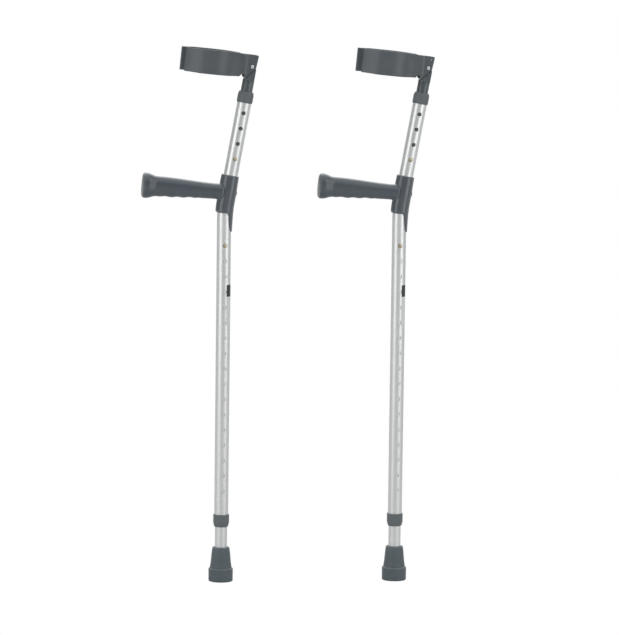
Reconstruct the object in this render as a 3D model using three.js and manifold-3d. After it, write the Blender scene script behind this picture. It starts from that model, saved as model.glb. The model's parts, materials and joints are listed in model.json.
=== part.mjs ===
// A pair of forearm crutches. Each has a bent main tube, a leg that telescopes out of it, a moulded
// handle and a hinged cuff for the forearm. Millimetres, +Z up, handles and cuffs towards -X.
// The origin is the middle of the left foot, where it meets the ground.
import * as THREE from 'three';
import { mergeVertices } from 'three/addons/utils/BufferGeometryUtils.js';
import Module from 'manifold-3d';

const wasm = await Module();
wasm.setup();

// The pair
const pairPitch = 284;
const pairStagger = -22;

// Fits
const gap = 0.3;
const roundSides = 24;
const smallSides = 12;

// Main tube: up the leg, round the bend, up the forearm
const tubeRadius = 11.4;
const tubeBore = 10.25;
const tubeFoot = 94.5;
const bendHeight = 605.6;
const bendRadius = 150;
const bendSteps = 4;
const lean = THREE.MathUtils.degToRad(10.2);
const forearmLength = 190;
const labelLow = 418;
const labelHigh = 485.5;

// Adjusting holes, all on the -Y side
const holePitch = 25;
const holeRadius = 3.3;
const legHoleCount = 17;
const legHoleLowest = 149.2;
const forearmHoleCount = 4;
const forearmHoleLowest = 84.4;

// Leg tube and foot
const legRadius = 9.95;
const legBore = 8.7;
const legTop = 585;
const washerLow = 10;
const washerThick = 2;
const ferruleHeight = 56;
const ferruleBore = legRadius + 0.325;

// Handle
const sleeveRadius = 14.3;
const sleeveBottom = 601.5;
const sleeveTop = 57.5;
const tailBottom = 571;
const tailHalfAngle = THREE.MathUtils.degToRad(56);
const gripRoot = new THREE.Vector3(5.3, 0, 634.8);
const gripRise = THREE.MathUtils.degToRad(4.9);
const gripLength = 142;
const gripFlatness = 0.86;
const rivetHeight = 30;

// Cuff stem, in the forearm's frame
const stemRadius = 9.5;
const stemBore = 6.4;
const stemLow = 72;
const stemBoreTop = 150;
const stemStep = 211.6;
const pivotHeight = 235;
const headHalfWidth = 7.3;
const tongueHalfThick = 8.3;

// Cuff, in its own frame about the pivot
const cuffTilt = THREE.MathUtils.degToRad(5.4);
const bandLow = -17.2;
const bandHigh = 21.3;
const bandThick = 2.8;
const bulbCentre = -67.4;
const bulbFront = 59;
const bulbRear = 53;
const bulbHalfWidth = 49;
const tipHalfGap = 26;
const neckHalfWidth = 12.2;
const neckX = -10.5;
const webBack = -14;
const earInner = 8.7;
const earHigh = 19.7;
const stopDistance = 6.05;
const stopSlope = THREE.MathUtils.degToRad(52.5);

// Snap buttons and their clips
const buttonRadius = 2.95;
const buttonReach = tubeRadius + 2.2;
const clipThick = 0.8;

const greyPlastic = new THREE.MeshStandardMaterial({ color: 0x454b4f, roughness: 0.5, metalness: 0 });
const softGrip = new THREE.MeshStandardMaterial({ color: 0x3c4449, roughness: 0.55, metalness: 0 });
const footRubber = new THREE.MeshStandardMaterial({ color: 0x3d464a, roughness: 0.8, metalness: 0 });
const satinAluminium = new THREE.MeshStandardMaterial({ color: 0xc9cccd, roughness: 0.35, metalness: 1 });
const brass = new THREE.MeshStandardMaterial({ color: 0xc79a4b, roughness: 0.35, metalness: 1 });
const steel = new THREE.MeshStandardMaterial({ color: 0xb5b8ba, roughness: 0.35, metalness: 1 });
const springSteel = new THREE.MeshStandardMaterial({ color: 0x8c9094, roughness: 0.4, metalness: 1 });
const labelFilm = new THREE.MeshStandardMaterial({ color: 0xd9dbdc, roughness: 0.5, metalness: 0 });

// ---- Solids ----

// A closed solid from a three.js geometry: shared corners merged, triangles without area dropped.
function solidOf(geometry) {
  const bare = geometry.clone();
  bare.deleteAttribute('normal');
  bare.deleteAttribute('uv');
  const merged = mergeVertices(bare, 1e-4);
  const corners = merged.index.array;
  const kept = [];
  for (let i = 0; i < corners.length; i += 3) {
    const [a, b, c] = corners.slice(i, i + 3);
    if (a !== b && b !== c && c !== a) {
      kept.push(a, b, c);
    }
  }
  const vertProperties = merged.attributes.position.array;
  const triVerts = new Uint32Array(kept);
  return new wasm.Manifold(new wasm.Mesh({ numProp: 3, vertProperties, triVerts }));
}

function geometryOf(solid) {
  const mesh = solid.getMesh();
  const geometry = new THREE.BufferGeometry();
  geometry.setAttribute('position', new THREE.BufferAttribute(mesh.vertProperties, 3));
  geometry.setIndex(new THREE.BufferAttribute(mesh.triVerts, 1));
  geometry.computeVertexNormals();
  return geometry;
}

// Some geometries joined, then others cut away from them.
function carve(joined, removed) {
  let solid = solidOf(joined[0]);
  for (const extra of joined.slice(1)) {
    solid = solid.add(solidOf(extra));
  }
  for (const cutter of removed) {
    solid = solid.subtract(solidOf(cutter));
  }
  return geometryOf(solid);
}

// A solid of revolution about Z from [radius, height] pairs, walked anticlockwise.
function turned(profile, sides = roundSides) {
  const points = profile.map(([radius, height]) => new THREE.Vector2(radius, height));
  return new THREE.LatheGeometry(points, sides).rotateX(Math.PI / 2);
}

// The same, for a ring: its profile closes on itself.
function turnedRing(profile, sides = roundSides) {
  return turned([...profile, profile[0]], sides);
}

// A plate whose outline lies in the XZ plane, centred on Y = middle.
function sidePlate(outline, thickness, middle = 0) {
  const settings = { depth: thickness, bevelEnabled: false, curveSegments: 12 };
  const plate = new THREE.ExtrudeGeometry(outline, settings);
  return plate.rotateX(Math.PI / 2).translate(0, middle + thickness / 2, 0);
}

function outlineOf(corners) {
  return new THREE.Shape(corners.map(([x, y]) => new THREE.Vector2(x, y)));
}

function rod(radius, length, sides = smallSides) {
  return new THREE.CylinderGeometry(radius, radius, length, sides);
}

// ---- Frames ----

// From the forearm's frame, with Z up the forearm from the bend, to the crutch's frame.
function onForearm(geometry) {
  return geometry.rotateY(lean).translate(0, 0, bendHeight);
}

// From the grip's frame, with -X along the grip from the tube, to the crutch's frame.
function onGrip(geometry) {
  return geometry.rotateY(gripRise).translate(gripRoot.x, gripRoot.y, gripRoot.z);
}

// The centre line of the main tube, from a height on the leg to a distance up the forearm.
// Its parameter runs in even steps, not in even lengths, so each straight run is one step.
class BentLine extends THREE.Curve {
  constructor(low, high) {
    super();
    this.low = low;
    this.high = high;
  }

  getPoint(t, target = new THREE.Vector3()) {
    const setback = bendRadius * Math.tan(lean / 2);
    const bendStart = bendHeight - setback;
    const place = t * (bendSteps + 2);
    if (place < 1) {
      return target.set(0, 0, THREE.MathUtils.lerp(this.low, bendStart, place));
    }
    if (place > 1 + bendSteps) {
      const along = THREE.MathUtils.lerp(setback, this.high, place - 1 - bendSteps);
      return target.set(along * Math.sin(lean), 0, bendHeight + along * Math.cos(lean));
    }
    const angle = lean * (place - 1) / bendSteps;
    return target.set(bendRadius * (1 - Math.cos(angle)), 0, bendStart + bendRadius * Math.sin(angle));
  }

  getUtoTmapping(u) {
    return u;
  }
}

// A rod, or a tube when it has a bore, along the main tube's centre line.
function bentRod(radius, low, high, bore = 0) {
  const section = new THREE.Shape();
  section.absarc(0, 0, radius, 0, 2 * Math.PI, false);
  if (bore > 0) {
    const hole = new THREE.Path();
    hole.absarc(0, 0, bore, 0, 2 * Math.PI, true);
    section.holes.push(hole);
  }
  const extrudePath = new BentLine(low, high);
  const settings = { steps: bendSteps + 2, extrudePath, curveSegments: roundSides / 2 };
  return new THREE.ExtrudeGeometry(section, settings);
}

// ---- Tubes ----

function holeCutter(height, depth = 6) {
  return rod(holeRadius, depth).translate(0, -tubeRadius, height);
}

function rivetCutter() {
  return onForearm(handleRivetBlank(gap));
}

function mainTube() {
  const cutters = [];
  for (let i = 0; i < legHoleCount; i += 1) {
    cutters.push(holeCutter(legHoleLowest + i * holePitch));
  }
  for (let i = 0; i < forearmHoleCount; i += 1) {
    cutters.push(onForearm(holeCutter(forearmHoleLowest + i * holePitch)));
  }
  cutters.push(rivetCutter());
  return carve([bentRod(tubeRadius, tubeFoot, forearmLength, tubeBore)], cutters);
}

function legTube() {
  const low = washerLow + washerThick + gap;
  const wall = turnedRing([[legBore, low], [legRadius, low], [legRadius, legTop], [legBore, legTop]]);
  return carve([wall], [holeCutter(legHoleLowest + (legHoleCount - 1) * holePitch, 8)]);
}

// ---- Collars ----

function lowerCollar() {
  const lip = legRadius + 0.325;
  const seat = tubeRadius + gap;
  return turnedRing([
    [lip, 89.5], [11.1, 89.5], [12.4, 94.5], [12.95, 97.5], [12.95, 109.3], [12.6, 110],
    [seat, 110], [seat, tubeFoot - gap], [lip, tubeFoot - gap],
  ]);
}

function upperCollar() {
  const lip = stemRadius + gap;
  const seat = tubeRadius + gap;
  const shoulder = forearmLength + gap;
  return turnedRing([
    [seat, 176], [12.4, 176], [12.75, 178.5], [12.75, 189.5], [11.9, 193], [10.5, 194.6],
    [lip, 194.6], [lip, shoulder], [seat, shoulder],
  ]);
}

// ---- Foot ----

function ferrule() {
  return turned([
    [0, 0], [8, 0], [8.6, 1.5], [11.4, 1.5], [12, 0], [19.1, 0], [19.85, 1.6], [19.75, 18.5], [19.1, 20.8],
    [17.7, 23], [16.4, 31], [14.95, 47], [14.45, 51], [13, 55], [11.2, ferruleHeight],
    [ferruleBore, ferruleHeight - 0.2], [ferruleBore, washerLow - gap], [0, washerLow - gap],
  ]);
}

function ferruleWasher() {
  const high = washerLow + washerThick;
  return turned([[0, washerLow], [9.6, washerLow], [9.6, high], [0, high]]);
}

// ---- Snap buttons and clips ----

// A button that points towards -Y, its flat end at Y = -base.
function snapButton(base, height) {
  const length = buttonReach - base;
  const blank = new THREE.LatheGeometry([
    new THREE.Vector2(0, 0),
    new THREE.Vector2(buttonRadius, 0),
    new THREE.Vector2(buttonRadius, length - 1.6),
    new THREE.Vector2(2.55, length - 0.75),
    new THREE.Vector2(1.55, length - 0.2),
    new THREE.Vector2(0, length),
  ], smallSides);
  return blank.rotateX(Math.PI).translate(0, -base, height);
}

// A strip bent into a U: its near leg is behind the button, its far leg against the bore.
function springClip(reach, width, buttonHeight) {
  const inner = reach - clipThick;
  const top = buttonHeight + 26;
  const nearEnd = buttonHeight - 8;
  const farEnd = buttonHeight + 2;
  const strip = new THREE.Shape();
  strip.moveTo(-inner, nearEnd);
  strip.lineTo(-inner, top);
  strip.absarc(0, top, inner, Math.PI, 0, true);
  strip.lineTo(inner, farEnd);
  strip.lineTo(reach, farEnd);
  strip.lineTo(reach, top);
  strip.absarc(0, top, reach, 0, Math.PI, false);
  strip.lineTo(-reach, nearEnd);
  const clip = new THREE.ExtrudeGeometry(strip, { depth: width, bevelEnabled: false, curveSegments: 8 });
  return clip.rotateX(Math.PI / 2).rotateZ(Math.PI / 2).translate(-width / 2, 0, 0);
}

// ---- Handle ----

// A flush rivet along X, grown by some clearance when it is a cutter.
function handleRivetBlank(clearance) {
  const r = clearance;
  const blank = turned([
    [0, 7.6 - r], [3, 7.6 - r], [3.6 + r, 8.6], [3 + r, 9.1 + r], [2.4 + r, 9.3], [2.4 + r, 12.5 - r],
    [4.2 + r, 13.7 - r], [4.2 + r, 14 + 3 * r], [0, 14 + 3 * r],
  ], smallSides);
  return blank.rotateY(Math.PI / 2).translate(0, 0, rivetHeight);
}

function tail() {
  const cone = turned([[0, tailBottom], [12.8, tailBottom], [13.2, 582], [sleeveRadius, 604], [0, 604]]);
  const reach = 30;
  const slope = reach * Math.tan(tailHalfAngle);
  const wedgeOutline = outlineOf([[0, 0], [reach, -slope], [reach, slope]]);
  const wedge = new THREE.ExtrudeGeometry(wedgeOutline, { depth: 60, bevelEnabled: false });
  wedge.translate(0, 0, tailBottom - 10);
  return geometryOf(solidOf(cone).intersect(solidOf(wedge)));
}

function coreBar(clearance) {
  const length = 125 + clearance;
  const bar = new THREE.CylinderGeometry(7.4 + clearance, 6.4 + clearance, length, roundSides);
  return onGrip(bar.rotateZ(-Math.PI / 2).translate(-length / 2, 0, 0));
}

function handleCore() {
  const sleeve = bentRod(sleeveRadius, 560, sleeveTop);
  const below = new THREE.BoxGeometry(60, 60, 80).translate(0, 0, sleeveBottom - 40);
  const collar = carve([sleeve], [below]);
  const bore = bentRod(tubeRadius + gap, 540, sleeveTop + 20);
  return carve([collar, tail(), coreBar(0)], [bore, rivetCutter()]);
}

function handGrip() {
  const blank = turned([
    [0, 8], [12.6, 8], [12.7, 26], [14, 45], [16, 96], [16.3, 116], [16.9, 123], [18.5, 129],
    [19.4, 134.5], [18.9, 138.5], [16.5, 141], [12, gripLength], [0, gripLength + 0.4],
  ]);
  const cover = onGrip(blank.scale(1, gripFlatness, 1).rotateY(-Math.PI / 2));
  const seat = bentRod(sleeveRadius + gap, 540, sleeveTop + 40);
  return carve([cover], [seat, coreBar(gap)]);
}

function careLabel() {
  const inner = tubeRadius + gap;
  const outer = inner + 0.25;
  const halfAngle = THREE.MathUtils.degToRad(70);
  const film = new THREE.Shape();
  film.absarc(0, 0, outer, -halfAngle, halfAngle, false);
  film.absarc(0, 0, inner, halfAngle, -halfAngle, true);
  const depth = labelHigh - labelLow;
  const label = new THREE.ExtrudeGeometry(film, { depth, bevelEnabled: false, curveSegments: 12 });
  return label.translate(0, 0, labelLow);
}

// ---- Cuff stem ----

// The sloping face that the cuff rests on, as a half plane below it, in the forearm's frame.
function belowStop(distance) {
  const along = new THREE.Vector2(Math.cos(stopSlope), Math.sin(stopSlope));
  const foot = new THREE.Vector2(along.y, -along.x).multiplyScalar(distance);
  const low = foot.clone().addScaledVector(along, -60);
  const high = foot.clone().addScaledVector(along, 60);
  return outlineOf([[low.x, low.y], [60, low.y], [60, high.y], [high.x, high.y]]);
}

function cuffStem() {
  const shank = turned([
    [0, stemBoreTop], [stemBore, stemBoreTop], [stemBore, stemLow], [stemRadius, stemLow],
    [stemRadius, stemStep + 1], [0, stemStep + 1],
  ]);
  const blockLow = stemStep - pivotHeight;
  const block = sidePlate(outlineOf([
    [-headHalfWidth, blockLow], [headHalfWidth, blockLow], [headHalfWidth, 12], [-headHalfWidth, 12],
  ]), 2 * neckHalfWidth);
  const slope = sidePlate(belowStop(stopDistance + 0.4), 2 * neckHalfWidth);
  const shoulder = geometryOf(solidOf(block).intersect(solidOf(slope)));
  const sweep = rod(stopDistance + 1, 2 * neckHalfWidth + 2, roundSides);
  const tongueOutline = new THREE.Shape();
  tongueOutline.moveTo(-headHalfWidth, blockLow);
  tongueOutline.lineTo(headHalfWidth, blockLow);
  tongueOutline.lineTo(headHalfWidth, 0);
  tongueOutline.absarc(0, 0, headHalfWidth, 0, Math.PI, false);
  const tongue = sidePlate(tongueOutline, 2 * tongueHalfThick);
  const head = carve([carve([shoulder], [sweep]), tongue], [rod(2.8, 40)]).translate(0, 0, pivotHeight);
  return carve([shank, head], [holeCutter(forearmHoleLowest, 14)]);
}

// ---- Cuff ----

// Half of the band's plan, as points from its tip at the front to the neck at the back.
function bulbSide(inset, from, to) {
  const points = [];
  const steps = 14;
  for (let i = 0; i <= steps; i += 1) {
    const angle = THREE.MathUtils.lerp(from, to, i / steps);
    const reach = angle > Math.PI / 2 ? bulbFront : bulbRear;
    const x = bulbCentre + (reach - inset) * Math.cos(angle);
    const y = (bulbHalfWidth - inset) * Math.sin(angle);
    points.push(new THREE.Vector2(x, y));
  }
  return points;
}

function bandPlan() {
  const tip = Math.PI - Math.asin(tipHalfGap / bulbHalfWidth);
  const neck = Math.asin(18 / bulbHalfWidth);
  const outer = bulbSide(0, tip, neck);
  const bend = new THREE.Vector2(-16.2, neckHalfWidth);
  const neckEnd = new THREE.Vector2(neckX, neckHalfWidth);
  const corner = new THREE.QuadraticBezierCurve(outer[outer.length - 1], bend, neckEnd);
  const half = [...outer, ...corner.getPoints(5).slice(1), new THREE.Vector2(neckX, earInner)];
  half.push(new THREE.Vector2(webBack, earInner));
  const mirror = half.map((point) => new THREE.Vector2(point.x, -point.y)).reverse();
  const inner = bulbSide(bandThick, tip, 0);
  const innerMirror = inner.slice(0, -1).map((point) => new THREE.Vector2(point.x, -point.y));
  return new THREE.Shape([...half, ...mirror, ...innerMirror, ...inner.reverse()]);
}

function ear(side) {
  const slope = stopSlope + cuffTilt - lean;
  const stopZ = (x) => (Math.sin(slope) * x - stopDistance) / Math.cos(slope);
  const outline = outlineOf([
    [-15.1, -13.6], [-12.8, -14.6], [-11.6, -17.6], [-8.8, stopZ(-8.8)], [6.5, stopZ(6.5)], [9.3, 17.6],
    [8.6, 19.2], [7, earHigh], [-15.1, earHigh],
  ]);
  const thickness = neckHalfWidth - earInner;
  return sidePlate(outline, thickness, side * (earInner + neckHalfWidth) / 2);
}

function armCuff() {
  const depth = bandHigh - bandLow;
  const band = new THREE.ExtrudeGeometry(bandPlan(), { depth, bevelEnabled: false });
  band.translate(0, 0, bandLow);
  const keyHole = rod(1.5, 10).translate(3.6, -neckHalfWidth, 14.6);
  const notch = new THREE.BoxGeometry(8, 40, 8).translate(-14.5, 0, -17.8);
  const open = carve([band], [notch]);
  return carve([open, ear(-1), ear(1)], [rod(2.8, 40), keyHole]);
}

// The rivet lies along Y: a domed head on the near ear, a set head on the washer of the far ear.
function cuffRivet() {
  const blank = new THREE.LatheGeometry([
    new THREE.Vector2(0, -14.9),
    new THREE.Vector2(2.6, -14.7),
    new THREE.Vector2(3.4, -14.1),
    new THREE.Vector2(3.5, -13.7),
    new THREE.Vector2(2.5, -13.7),
    new THREE.Vector2(2.5, 12.5),
    new THREE.Vector2(3.2, 12.5),
    new THREE.Vector2(2.9, 13.3),
    new THREE.Vector2(1.8, 13.9),
    new THREE.Vector2(0, 14.1),
  ], smallSides);
  return blank.rotateX(Math.PI);
}

function cuffWasher() {
  const low = neckHalfWidth + gap;
  const section = [[2.8, low], [5.2, low], [5.2, low + 0.8], [2.8, low + 0.8]];
  return turnedRing(section, smallSides).rotateX(-Math.PI / 2);
}

// ---- Assembly ----

const legButtonHeight = legHoleLowest + (legHoleCount - 1) * holePitch;
const legClipReach = 7.2;
const stemClipReach = 4.9;

const crutchPieces = [
  ['main_tube', mainTube(), satinAluminium],
  ['care_label', careLabel(), labelFilm],
  ['lower_collar', lowerCollar(), greyPlastic],
  ['leg_tube', legTube(), satinAluminium],
  ['leg_clip', springClip(legClipReach, 8, legButtonHeight), springSteel],
  ['leg_button', snapButton(legClipReach + gap, legButtonHeight), brass],
  ['ferrule', ferrule(), footRubber],
  ['ferrule_washer', ferruleWasher(), steel],
  ['handle_core', handleCore(), greyPlastic],
  ['hand_grip', handGrip(), softGrip],
];

const forearmPieces = [
  ['upper_collar', upperCollar(), greyPlastic],
  ['handle_rivet', handleRivetBlank(0), steel],
  ['cuff_stem', cuffStem(), greyPlastic],
  ['stem_clip', springClip(stemClipReach, 6.4, forearmHoleLowest), springSteel],
  ['stem_button', snapButton(stemClipReach + gap, forearmHoleLowest), brass],
];

const cuffPieces = [
  ['arm_cuff', armCuff(), greyPlastic],
  ['cuff_rivet', cuffRivet(), steel],
  ['cuff_washer', cuffWasher(), steel],
];

function addPieces(group, side, pieces) {
  for (const [name, geometry, material] of pieces) {
    const mesh = new THREE.Mesh(geometry, material);
    mesh.name = `${side}_${name}`;
    group.add(mesh);
  }
}

function crutch(side) {
  const whole = new THREE.Group();
  const forearm = new THREE.Group();
  const cuff = new THREE.Group();
  forearm.position.z = bendHeight;
  forearm.rotation.y = lean;
  cuff.position.z = pivotHeight;
  cuff.rotation.y = cuffTilt - lean;
  addPieces(whole, side, crutchPieces);
  addPieces(forearm, side, forearmPieces);
  addPieces(cuff, side, cuffPieces);
  forearm.add(cuff);
  whole.add(forearm);
  return whole;
}

const pair = new THREE.Group();
const rightCrutch = crutch('right');
rightCrutch.position.set(pairPitch, pairStagger, 0);
pair.add(crutch('left'), rightCrutch);

export default pair;
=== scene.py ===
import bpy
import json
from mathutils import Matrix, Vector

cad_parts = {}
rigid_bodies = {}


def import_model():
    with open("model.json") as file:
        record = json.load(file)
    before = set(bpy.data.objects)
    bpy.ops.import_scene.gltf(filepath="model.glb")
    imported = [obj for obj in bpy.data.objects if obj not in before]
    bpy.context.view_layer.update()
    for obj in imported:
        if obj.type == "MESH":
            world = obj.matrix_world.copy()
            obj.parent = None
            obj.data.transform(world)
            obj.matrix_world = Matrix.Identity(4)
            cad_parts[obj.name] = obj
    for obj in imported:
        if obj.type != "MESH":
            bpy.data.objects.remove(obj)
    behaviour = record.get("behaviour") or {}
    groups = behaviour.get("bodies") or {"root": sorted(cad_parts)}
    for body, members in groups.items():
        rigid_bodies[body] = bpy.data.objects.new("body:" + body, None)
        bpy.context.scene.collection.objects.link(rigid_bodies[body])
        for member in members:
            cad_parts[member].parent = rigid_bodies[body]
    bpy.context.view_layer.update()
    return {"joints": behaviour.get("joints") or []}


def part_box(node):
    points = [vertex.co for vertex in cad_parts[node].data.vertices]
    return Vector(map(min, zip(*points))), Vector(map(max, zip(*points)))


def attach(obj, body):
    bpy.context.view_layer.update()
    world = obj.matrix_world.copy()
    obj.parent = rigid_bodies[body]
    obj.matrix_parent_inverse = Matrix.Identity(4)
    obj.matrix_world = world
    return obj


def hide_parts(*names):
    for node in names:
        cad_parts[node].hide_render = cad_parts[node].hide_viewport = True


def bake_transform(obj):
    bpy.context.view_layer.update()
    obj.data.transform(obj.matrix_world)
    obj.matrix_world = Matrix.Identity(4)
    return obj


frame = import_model()

import json
import math

import bmesh
import bpy
from mathutils import Matrix, Vector

# ---------------------------------------------------------------------------
# Rubber feet. Each is a moulded grey ferrule, pushed over the end of the leg
# tube. It has a cone, a wide base with tread rings under it, and a steel disc
# inside that stops the tube from cutting through the rubber.
# ---------------------------------------------------------------------------

MM = 0.001
joints = {joint["name"]: joint for joint in frame["joints"]}
feet = {}
for side in ("left", "right"):
    low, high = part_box(f"{side}_ferrule")
    feet[side] = Vector(((low.x + high.x) / 2, (low.y + high.y) / 2, low.z))


def smoothstep(low, high, value):
    share = min(max((value - low) / (high - low), 0.0), 1.0)
    return share * share * (3 - 2 * share)


def rounded(corners, steps=5):
    """An outline with arcs for corners. A corner is (across, up) or (across, up, radius)."""
    outline = []
    for i, corner in enumerate(corners):
        here = Vector(corner[:2])
        if len(corner) == 2:
            outline.append(here)
            continue
        before = Vector(corners[i - 1][:2]) - here
        after = Vector(corners[(i + 1) % len(corners)][:2]) - here
        room = 0.48 * min(before.length, after.length)
        before.normalize()
        after.normalize()
        half = before.angle(after) / 2
        radius = min(corner[2], room * math.tan(half))
        centre = here + (before + after).normalized() * radius / math.sin(half)
        first = here + before * radius / math.tan(half) - centre
        last = here + after * radius / math.tan(half) - centre
        turn = math.copysign(math.pi - 2 * half, first.cross(last))
        for step in range(steps + 1):
            outline.append(centre + Matrix.Rotation(turn * step / steps, 2) @ first)
    return outline


def mark_edges(mesh):
    """Stores how sharply each point stands out, for the wear along edges."""
    shape = bmesh.new()
    shape.from_mesh(mesh)
    values = [0.0] * len(shape.verts)
    for edge in shape.edges:
        if len(edge.link_faces) != 2:
            continue
        one, other = edge.link_faces
        apart = (one.calc_center_median() - other.calc_center_median()).length / MM
        bend = edge.calc_face_angle_signed(0.0) / max(apart, 0.05)
        for corner in edge.verts:
            values[corner.index] = max(values[corner.index], smoothstep(0.2, 0.9, bend))
    shape.free()
    layer = mesh.attributes.new("edge", "FLOAT", "POINT")
    layer.data.foreach_set("value", values)


def solid_mesh(name, points, faces):
    """A closed mesh from points in millimetres, its doubled points merged and its faces turned outwards."""
    shape = bmesh.new()
    corners = [shape.verts.new(Vector(point) * MM) for point in points]
    for face in faces:
        shape.faces.new([corners[i] for i in face])
    bmesh.ops.remove_doubles(shape, verts=shape.verts, dist=0.002 * MM)
    bmesh.ops.recalc_face_normals(shape, faces=shape.faces)
    mesh = bpy.data.meshes.new(name)
    shape.to_mesh(mesh)
    shape.free()
    return mesh


def turned(name, outline, sides=96):
    """A solid of revolution about Z, from a closed outline of radius and height."""
    points = []
    faces = []
    count = len(outline)
    for side in range(sides):
        angle = 2 * math.pi * side / sides
        for radius, height in outline:
            points.append((radius * math.cos(angle), radius * math.sin(angle), height))
        start = side * count
        after = (side + 1) % sides * count
        for i in range(count):
            j = (i + 1) % count
            if outline[i][0] < 1e-6 and outline[j][0] < 1e-6:
                continue
            corners = [start + i, after + i, after + j, start + j]
            if outline[i][0] < 1e-6:
                corners = [start + i, after + j, start + j]
            if outline[j][0] < 1e-6:
                corners = [start + i, after + i, start + j]
            faces.append(corners)
    return solid_mesh(name, points, faces)


def add(tree, kind, inputs=None, **settings):
    """A shader node with its settings and unlinked input values."""
    node = tree.nodes.new(kind)
    for key, value in settings.items():
        setattr(node, key, value)
    for key, value in (inputs or {}).items():
        node.inputs[key].default_value = value
    return node


def node_group(name, inputs, outputs):
    """An empty shader group with named inputs, each with its default, and outputs."""
    tree = bpy.data.node_groups.new(name, "ShaderNodeTree")
    for label, kind, value in inputs:
        tree.interface.new_socket(label, in_out="INPUT", socket_type=kind).default_value = value
    for label, kind in outputs:
        tree.interface.new_socket(label, in_out="OUTPUT", socket_type=kind)
    return tree, add(tree, "NodeGroupInput"), add(tree, "NodeGroupOutput")


NUMBER = "NodeSocketFloat"


def make_moulded_grain():
    """The fine spark-eroded grain of a moulding tool, with a slow drift in tone."""
    tree, given, out = node_group(
        "Moulded Grain",
        [("Grain Size", NUMBER, 0.35), ("Drift", NUMBER, 0.06)],
        [("Height", NUMBER), ("Tone", NUMBER)],
    )
    place = add(tree, "ShaderNodeTexCoord")
    fineness = add(tree, "ShaderNodeMath", {0: 1000.0}, operation="DIVIDE")
    grain = add(tree, "ShaderNodeTexNoise", {"Detail": 3.0, "Roughness": 0.6})
    slow = add(tree, "ShaderNodeTexNoise", {"Scale": 38.0, "Detail": 2.0})
    tone = add(tree, "ShaderNodeMapRange", {"From Min": 0.3, "From Max": 0.7})
    lowest = add(tree, "ShaderNodeMath", {0: 1.0}, operation="SUBTRACT")
    highest = add(tree, "ShaderNodeMath", {0: 1.0}, operation="ADD")
    tree.links.new(given.outputs["Grain Size"], fineness.inputs[1])
    tree.links.new(fineness.outputs[0], grain.inputs["Scale"])
    tree.links.new(place.outputs["Object"], grain.inputs["Vector"])
    tree.links.new(place.outputs["Object"], slow.inputs["Vector"])
    tree.links.new(given.outputs["Drift"], lowest.inputs[1])
    tree.links.new(given.outputs["Drift"], highest.inputs[1])
    tree.links.new(slow.outputs["Fac"], tone.inputs["Value"])
    tree.links.new(lowest.outputs[0], tone.inputs["To Min"])
    tree.links.new(highest.outputs[0], tone.inputs["To Max"])
    tree.links.new(grain.outputs["Fac"], out.inputs["Height"])
    tree.links.new(tone.outputs["Result"], out.inputs["Tone"])
    return tree


def make_edge_wear():
    """A mask of rubbed patches along the edges that stand out."""
    tree, given, out = node_group(
        "Edge Wear", [("Amount", NUMBER, 0.5), ("Patch Size", NUMBER, 6.0)], [("Mask", NUMBER)]
    )
    place = add(tree, "ShaderNodeTexCoord")
    edge = add(tree, "ShaderNodeAttribute", attribute_name="edge")
    scale = add(tree, "ShaderNodeMath", {0: 1000.0}, operation="DIVIDE")
    patches = add(tree, "ShaderNodeTexNoise", {"Detail": 4.0, "Roughness": 0.65})
    broken = add(tree, "ShaderNodeMapRange", {"From Min": 0.42, "From Max": 0.62})
    on_edges = add(tree, "ShaderNodeMath", operation="MULTIPLY")
    strength = add(tree, "ShaderNodeMath", operation="MULTIPLY", use_clamp=True)
    tree.links.new(given.outputs["Patch Size"], scale.inputs[1])
    tree.links.new(scale.outputs[0], patches.inputs["Scale"])
    tree.links.new(place.outputs["Object"], patches.inputs["Vector"])
    tree.links.new(patches.outputs["Fac"], broken.inputs["Value"])
    tree.links.new(edge.outputs["Fac"], on_edges.inputs[0])
    tree.links.new(broken.outputs["Result"], on_edges.inputs[1])
    tree.links.new(on_edges.outputs[0], strength.inputs[0])
    tree.links.new(given.outputs["Amount"], strength.inputs[1])
    tree.links.new(strength.outputs[0], out.inputs["Mask"])
    return tree


moulded_grain = make_moulded_grain()
edge_wear = make_edge_wear()


def filled(tree, group, values):
    """A shader group with its inputs set."""
    node = add(tree, "ShaderNodeGroup", node_tree=group)
    for key, value in values.items():
        node.inputs[key].default_value = value
    return node


def new_material(name, settings):
    """A material with one Principled shader, whose even values are set on its sockets."""
    material = bpy.data.materials.new(name)
    material.use_nodes = True
    shader = material.node_tree.nodes["Principled BSDF"]
    for key, value in settings.items():
        shader.inputs[key].default_value = value
    return material, material.node_tree, shader


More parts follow.
